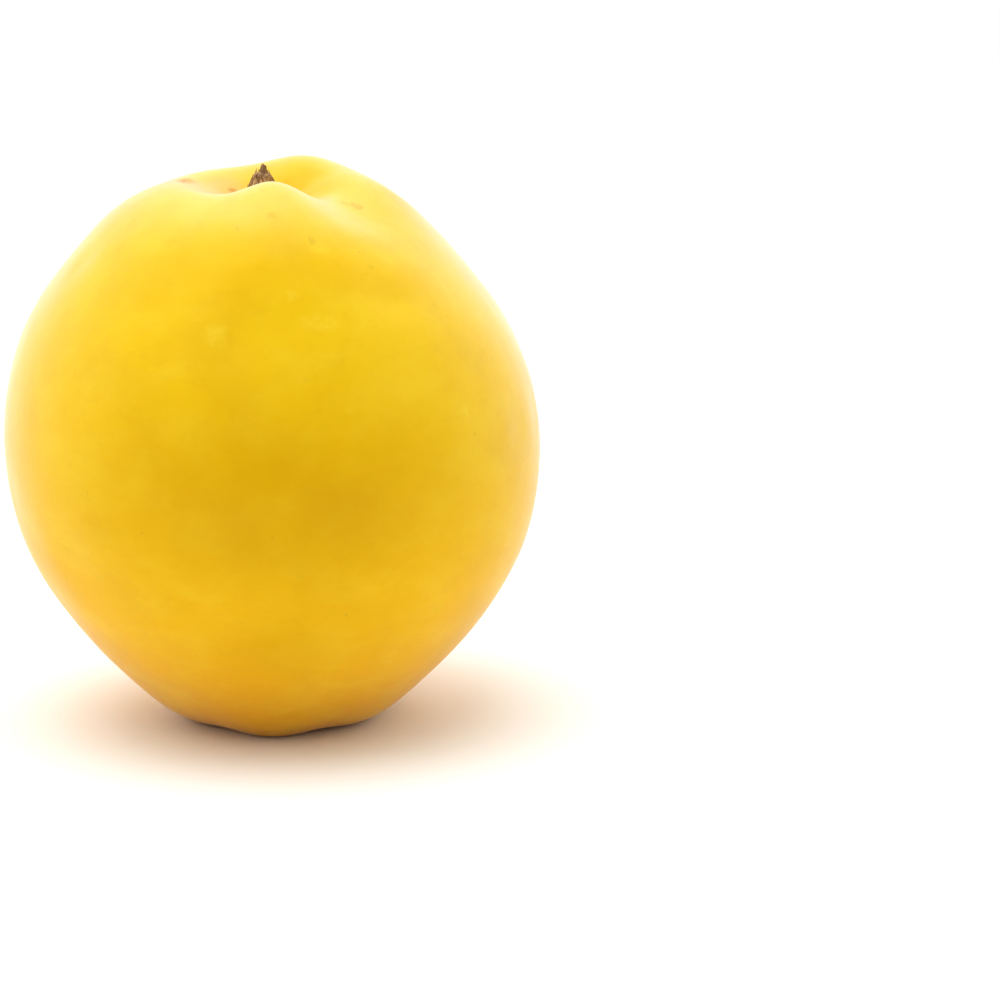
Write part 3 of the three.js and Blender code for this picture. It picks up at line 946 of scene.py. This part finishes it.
def style(number):
    """One of the withered styles in the calyx's middle."""
    path = [(0.35, 9.4), (0.45, 7.4), (0.3 + 0.08 * number, 5.2 + 0.15 * number)]

    def width(along):
        return 0.7 - 0.35 * along

    return strand(
        path, number * 360 / STYLES, CALYX_CENTRE, width, width, sides=12, steps=20, relief=fibred(3, 1)
    )


class QUINCE_OT_calyx(bpy.types.Operator):
    """Dry the calyx in its basin"""

    bl_idname = "quince.calyx"
    bl_label = "Dry calyx"

    def execute(self, context):
        settings = context.scene.quince_calyx
        parts = [turned(smooth_outline(CUP_OUTLINE), 144, wrinkles, CALYX_CENTRE)]
        draw = seeded_draw(5)
        sepals = []
        for number in range(settings.sepals):
            azimuth = FIRST_SEPAL + number * 360 / settings.sepals + draw(-7, 7)
            sepals.append((azimuth, (draw(6.3, 7.4), draw(2.4, 3.4))))
        parts += [sepal(*place, 1.7 * number) for number, place in enumerate(sepals)]
        parts += [stamen(number, draw) for number in range(settings.stamens)]
        parts += [style(number) for number in range(STYLES)]
        draw = seeded_draw(43)
        parts += [hair(*sepals[number % settings.sepals], draw) for number in range(settings.hairs)]
        make_piece("calyx_dried", parts, calyx_finish(settings), "calyx")
        return {"FINISHED"}


# The studio, in metres
FLOOR_HALF = 1.0
FLOOR_DROP = 0.05 * MM  # keeps the floor just below the flats that the fruit stands on
LIGHT_SIZE = 0.8
TOP_LIGHT = (-0.1, 0.0, 0.9)
FRONT_LIGHT = (-0.15, -0.25, 0.85)
SURROUND_RISE = (-1, 0.1)  # Y of the directions between which the surround grows to its full light


def add_floor(settings):
    """A plain pale floor."""
    corners = [(-1, -1), (1, -1), (1, 1), (-1, 1)]
    mesh = bpy.data.meshes.new("floor")
    places = [(x * FLOOR_HALF, y * FLOOR_HALF, -FLOOR_DROP) for x, y in corners]
    mesh.from_pydata(places, [], [(0, 1, 2, 3)])
    finish = Finish("floor")
    finish.set(Base_Color=opaque(settings.floor_colour), Roughness=0.9, Specular_IOR_Level=0.1)
    mesh.materials.append(finish.material)
    floor = bpy.data.objects.new("floor", mesh)
    bpy.context.scene.collection.objects.link(floor)


def add_softbox(name, place, target, power):
    """A square soft light that faces a target."""
    light = bpy.data.lights.new(name, "AREA")
    light.size = LIGHT_SIZE
    light.energy = power
    lamp = bpy.data.objects.new(name, light)
    lamp.location = place
    lamp.rotation_euler = (Vector(target) - Vector(place)).to_track_quat("-Z", "Y").to_euler()
    bpy.context.scene.collection.objects.link(lamp)


def add_camera(settings):
    """The camera, level from side to side, turned so that the fruit falls at its place."""
    distance, up = settings.camera_distance, settings.camera_elevation
    focal = settings.picture_scale * distance / MM
    aside = (settings.fruit_across - 0.5) / focal
    above = (0.5 - settings.fruit_down) / focal
    depth = 1 / math.sqrt(1 + aside**2 + above**2)
    pan = math.asin(-aside * depth / math.cos(up))
    tilt = math.atan2(-math.sin(up), math.cos(up) * math.cos(pan)) - math.atan(above)
    data = bpy.data.cameras.new("camera")
    data.sensor_width = 36
    data.lens = focal * data.sensor_width
    data.clip_start, data.clip_end = 0.01, 50
    camera = bpy.data.objects.new("camera", data)
    camera.location = (0, -distance * math.cos(up), FRUIT_HEIGHT / 2 * MM + distance * math.sin(up))
    camera.rotation_euler = (math.pi / 2 + tilt, 0, -pan)
    bpy.context.scene.collection.objects.link(camera)
    bpy.context.scene.camera = camera


def add_surround(settings):
    """A white surround that lights the fruit less from the front than from behind."""
    world = bpy.data.worlds.new("surround")
    world.use_nodes = True
    nodes, links = world.node_tree.nodes, world.node_tree.links
    way = nodes.new("ShaderNodeSeparateXYZ")
    links.new(nodes.new("ShaderNodeTexCoord").outputs["Generated"], way.inputs[0])
    light = nodes.new("ShaderNodeMapRange")
    light.inputs["From Min"].default_value, light.inputs["From Max"].default_value = SURROUND_RISE
    light.inputs["To Min"].default_value = settings.front_strength
    light.inputs["To Max"].default_value = settings.back_strength
    links.new(way.outputs["Y"], light.inputs["Value"])
    seen = nodes.new("ShaderNodeMix")
    links.new(nodes.new("ShaderNodeLightPath").outputs["Is Camera Ray"], seen.inputs[0])
    links.new(light.outputs["Result"], seen.inputs[2])
    seen.inputs[3].default_value = 1
    nodes["Background"].inputs["Color"].default_value = (1, 1, 1, 1)
    links.new(seen.outputs[0], nodes["Background"].inputs["Strength"])
    bpy.context.scene.world = world


class QUINCE_OT_stage(bpy.types.Operator):
    """Set the floor, the light and the camera"""

    bl_idname = "quince.stage"
    bl_label = "Set stage"

    def execute(self, context):
        settings = context.scene.quince_stage
        middle = (0, 0, FRUIT_HEIGHT / 2 * MM)
        add_floor(settings)
        add_softbox("top_light", TOP_LIGHT, middle, settings.top_power)
        add_softbox("front_light", FRONT_LIGHT, middle, settings.front_power)
        add_camera(settings)
        add_surround(settings)
        context.scene.view_settings.view_transform = "Standard"
        context.scene.view_settings.look = "None"
        return {"FINISHED"}


class QUINCE_PT_panel(bpy.types.Panel):
    """Lists the steps and their settings."""

    bl_idname = "QUINCE_PT_panel"
    bl_label = "Quince"
    bl_space_type = "VIEW_3D"
    bl_region_type = "UI"
    bl_category = "Quince"

    def draw(self, context):
        for operator, group in STEPS:
            box = self.layout.box()
            box.operator(operator)
            settings = getattr(context.scene, group)
            for key in settings.bl_rna.properties.keys():
                if key not in ("rna_type", "name"):
                    box.prop(settings, key)


STEPS = [
    ("quince.fruit", "quince_fruit"),
    ("quince.stub", "quince_stub"),
    ("quince.calyx", "quince_calyx"),
    ("quince.stage", "quince_stage"),
]
GROUPS = {
    "quince_fruit": QuinceFruit,
    "quince_stub": QuinceStub,
    "quince_calyx": QuinceCalyx,
    "quince_stage": QuinceStage,
}
CLASSES = [
    *GROUPS.values(),
    QUINCE_OT_fruit,
    QUINCE_OT_stub,
    QUINCE_OT_calyx,
    QUINCE_OT_stage,
    QUINCE_PT_panel,
]


def register():
    """Adds the classes, and a group of settings to the scene for each step."""
    for cls in CLASSES:
        bpy.utils.register_class(cls)
    for key, group in GROUPS.items():
        setattr(bpy.types.Scene, key, PointerProperty(type=group))


def unregister():
    """Takes them away again."""
    for key in GROUPS:
        delattr(bpy.types.Scene, key)
    for cls in reversed(CLASSES):
        bpy.utils.unregister_class(cls)


def main():
    """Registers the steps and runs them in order."""
    register()
    bpy.ops.quince.fruit()
    bpy.ops.quince.stub()
    bpy.ops.quince.calyx()
    bpy.ops.quince.stage()


if __name__ == "__main__":
    main()
